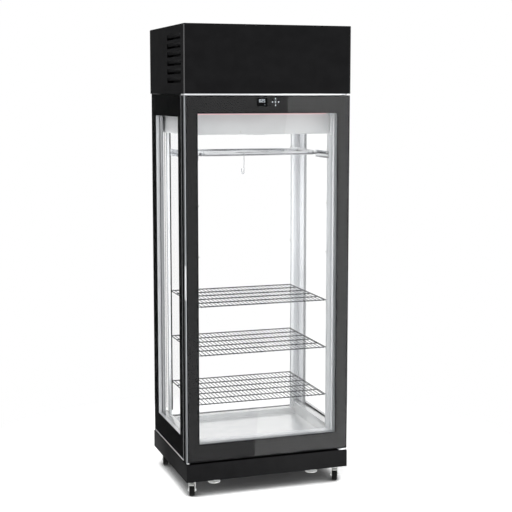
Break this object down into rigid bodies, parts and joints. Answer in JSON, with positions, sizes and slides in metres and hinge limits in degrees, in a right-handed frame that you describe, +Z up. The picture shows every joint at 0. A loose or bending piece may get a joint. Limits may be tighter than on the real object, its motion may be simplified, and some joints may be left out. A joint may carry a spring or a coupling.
{
  "type": "dry aging cabinet",
  "caption": "Tall refrigerated aging cabinet with a full-height glass door, glazed sides and rear, a black top housing with louvres, wire shelves, a hanging rail and swivel casters.",
  "frame": {"origin": "on the floor, at the bottom centre of the bounding box", "axes": "+Z up, the door faces -Y, +X is to the right of someone who faces the door"},
  "size_m": [0.75, 0.59, 2.03],
  "materials": {
    "black_powder_coat": "satin black powder coat on sheet steel",
    "insulated_core": "foam-filled panel with a plain skin",
    "clear_glass": "clear toughened glass",
    "black_border": "black border and spacer of the glazing",
    "black_door_profile": "black door profile behind glass",
    "grey_aluminium": "grey anodised",
    "bright_aluminium": "bright anodised",
    "stainless_steel": "fine brushed stainless sheet",
    "chromed_wire": "bright chrome plate",
    "zinc_plate": "bright zinc plate",
    "black_rubber": "moulded black rubber",
    "grey_gasket": "soft grey extruded gasket",
    "grey_steel": "light grey paint on sheet steel",
    "black_plastic": "moulded black plastic",
    "finned_aluminium": "mill finish fins"
  },
  "bodies": {
    "cabinet": {"base_plinth": "black_powder_coat", "base_core": "insulated_core", "floor_panel": "insulated_core", "lower_trim": "bright_aluminium", "floor_tray": "stainless_steel", "front_frame": "bright_aluminium", "post_rear_left": "bright_aluminium", "post_rear_right": "bright_aluminium", "left_outer_pane": "clear_glass", "left_glass_border": "black_border", "left_inner_pane": "clear_glass", "right_outer_pane": "clear_glass", "right_glass_border": "black_border", "right_inner_pane": "clear_glass", "rear_outer_pane": "clear_glass", "rear_glass_border": "black_border", "rear_inner_pane": "clear_glass", "hinge_top": "bright_aluminium", "hinge_bottom": "bright_aluminium", "header_trim": "bright_aluminium", "housing_shell": "black_powder_coat", "housing_back": "black_powder_coat", "ceiling_panel": "insulated_core", "compressor": "black_powder_coat", "condenser_coil": "finned_aluminium", "control_box": "black_plastic", "power_inlet": "black_plastic", "evaporator_cover": "grey_steel", "evaporator_coil": "finned_aluminium", "shelf_standard_front_left": "stainless_steel", "shelf_standard_front_right": "stainless_steel", "shelf_standard_rear_left": "stainless_steel", "shelf_standard_rear_right": "stainless_steel", "hang_rail": "chromed_wire"},
    "door": {"door_outer_pane": "clear_glass", "door_frame": "black_door_profile", "door_spacer": "grey_aluminium", "door_inner_pane": "clear_glass", "door_rear_trim": "bright_aluminium", "door_gasket": "grey_gasket", "door_handle": "grey_aluminium", "display_module": "black_plastic"},
    "swivel_front_left": {"caster_fork_front_left": "zinc_plate"},
    "swivel_front_right": {"caster_fork_front_right": "zinc_plate"},
    "swivel_rear_left": {"caster_fork_rear_left": "zinc_plate"},
    "swivel_rear_right": {"caster_fork_rear_right": "zinc_plate"},
    "wheel_front_left": {"caster_wheel_front_left": "black_rubber"},
    "wheel_front_right": {"caster_wheel_front_right": "black_rubber"},
    "wheel_rear_left": {"caster_wheel_rear_left": "black_rubber"},
    "wheel_rear_right": {"caster_wheel_rear_right": "black_rubber"},
    "brake_left": {"brake_pedal_left": "zinc_plate"},
    "brake_right": {"brake_pedal_right": "zinc_plate"},
    "foot_left": {"levelling_foot_left": "zinc_plate"},
    "foot_right": {"levelling_foot_right": "zinc_plate"},
    "lower_shelf": {"shelf_lower": "chromed_wire"},
    "middle_shelf": {"shelf_middle": "chromed_wire"},
    "upper_shelf": {"shelf_upper": "chromed_wire"},
    "hook": {"meat_hook": "chromed_wire"},
    "evaporator_rotor": {"evaporator_fan": "black_plastic"},
    "condenser_rotor": {"condenser_fan": "black_plastic"}
  },
  "joints": [
    {"name": "door_hinge", "type": "hinge", "parent": "cabinet", "child": "door", "pos_m": [0.3535, -0.272, 0.945], "axis": [0, 0, 1], "range_deg": [0, 110]},
    {"name": "swivel_front_left_turn", "type": "hinge", "parent": "cabinet", "child": "swivel_front_left", "pos_m": [-0.335, -0.239, 0.0667], "axis": [0, 0, 1], "continuous": true},
    {"name": "swivel_front_right_turn", "type": "hinge", "parent": "cabinet", "child": "swivel_front_right", "pos_m": [0.335, -0.239, 0.0667], "axis": [0, 0, 1], "continuous": true},
    {"name": "swivel_rear_left_turn", "type": "hinge", "parent": "cabinet", "child": "swivel_rear_left", "pos_m": [-0.335, 0.223, 0.0667], "axis": [0, 0, 1], "continuous": true},
    {"name": "swivel_rear_right_turn", "type": "hinge", "parent": "cabinet", "child": "swivel_rear_right", "pos_m": [0.335, 0.223, 0.0667], "axis": [0, 0, 1], "continuous": true},
    {"name": "wheel_front_left_spin", "type": "hinge", "parent": "swivel_front_left", "child": "wheel_front_left", "pos_m": [-0.3408, -0.25604, 0.025], "axis": [0.9466, -0.3223, 0], "continuous": true},
    {"name": "wheel_front_right_spin", "type": "hinge", "parent": "swivel_front_right", "child": "wheel_front_right", "pos_m": [0.3292, -0.25604, 0.025], "axis": [0.9466, -0.3223, 0], "continuous": true},
    {"name": "wheel_rear_left_spin", "type": "hinge", "parent": "swivel_rear_left", "child": "wheel_rear_left", "pos_m": [-0.3408, 0.20596, 0.025], "axis": [0.9466, -0.3223, 0], "continuous": true},
    {"name": "wheel_rear_right_spin", "type": "hinge", "parent": "swivel_rear_right", "child": "wheel_rear_right", "pos_m": [0.3292, 0.20596, 0.025], "axis": [0.9466, -0.3223, 0], "continuous": true},
    {"name": "brake_left_press", "type": "hinge", "parent": "swivel_front_left", "child": "brake_left", "pos_m": [-0.34273, -0.26172, 0.0549], "axis": [0.9466, -0.3223, 0], "range_deg": [0, 18]},
    {"name": "brake_right_press", "type": "hinge", "parent": "swivel_front_right", "child": "brake_right", "pos_m": [0.32727, -0.26172, 0.0549], "axis": [0.9466, -0.3223, 0], "range_deg": [0, 18]},
    {"name": "foot_left_screw", "type": "slide", "parent": "cabinet", "child": "foot_left", "axis": [0, 0, 1], "range_m": [-0.038, 0.01]},
    {"name": "foot_right_screw", "type": "slide", "parent": "cabinet", "child": "foot_right", "axis": [0, 0, 1], "range_m": [-0.038, 0.01]},
    {"name": "lower_shelf_lift", "type": "slide", "parent": "cabinet", "child": "lower_shelf", "axis": [0, 0, 1], "range_m": [0, 0.03]},
    {"name": "middle_shelf_lift", "type": "slide", "parent": "cabinet", "child": "middle_shelf", "axis": [0, 0, 1], "range_m": [0, 0.03]},
    {"name": "upper_shelf_lift", "type": "slide", "parent": "cabinet", "child": "upper_shelf", "axis": [0, 0, 1], "range_m": [0, 0.03]},
    {"name": "hook_swing", "type": "hinge", "parent": "cabinet", "child": "hook", "pos_m": [-0.0745, -0.165, 1.48], "axis": [1, 0, 0], "range_deg": [-30, 30]},
    {"name": "evaporator_fan_spin", "type": "hinge", "parent": "cabinet", "child": "evaporator_rotor", "pos_m": [0, -0.07, 1.615], "axis": [0, 0, 1], "continuous": true},
    {"name": "condenser_fan_spin", "type": "hinge", "parent": "cabinet", "child": "condenser_rotor", "pos_m": [-0.274, -0.135, 1.8778], "axis": [1, 0, 0], "continuous": true}
  ]
}
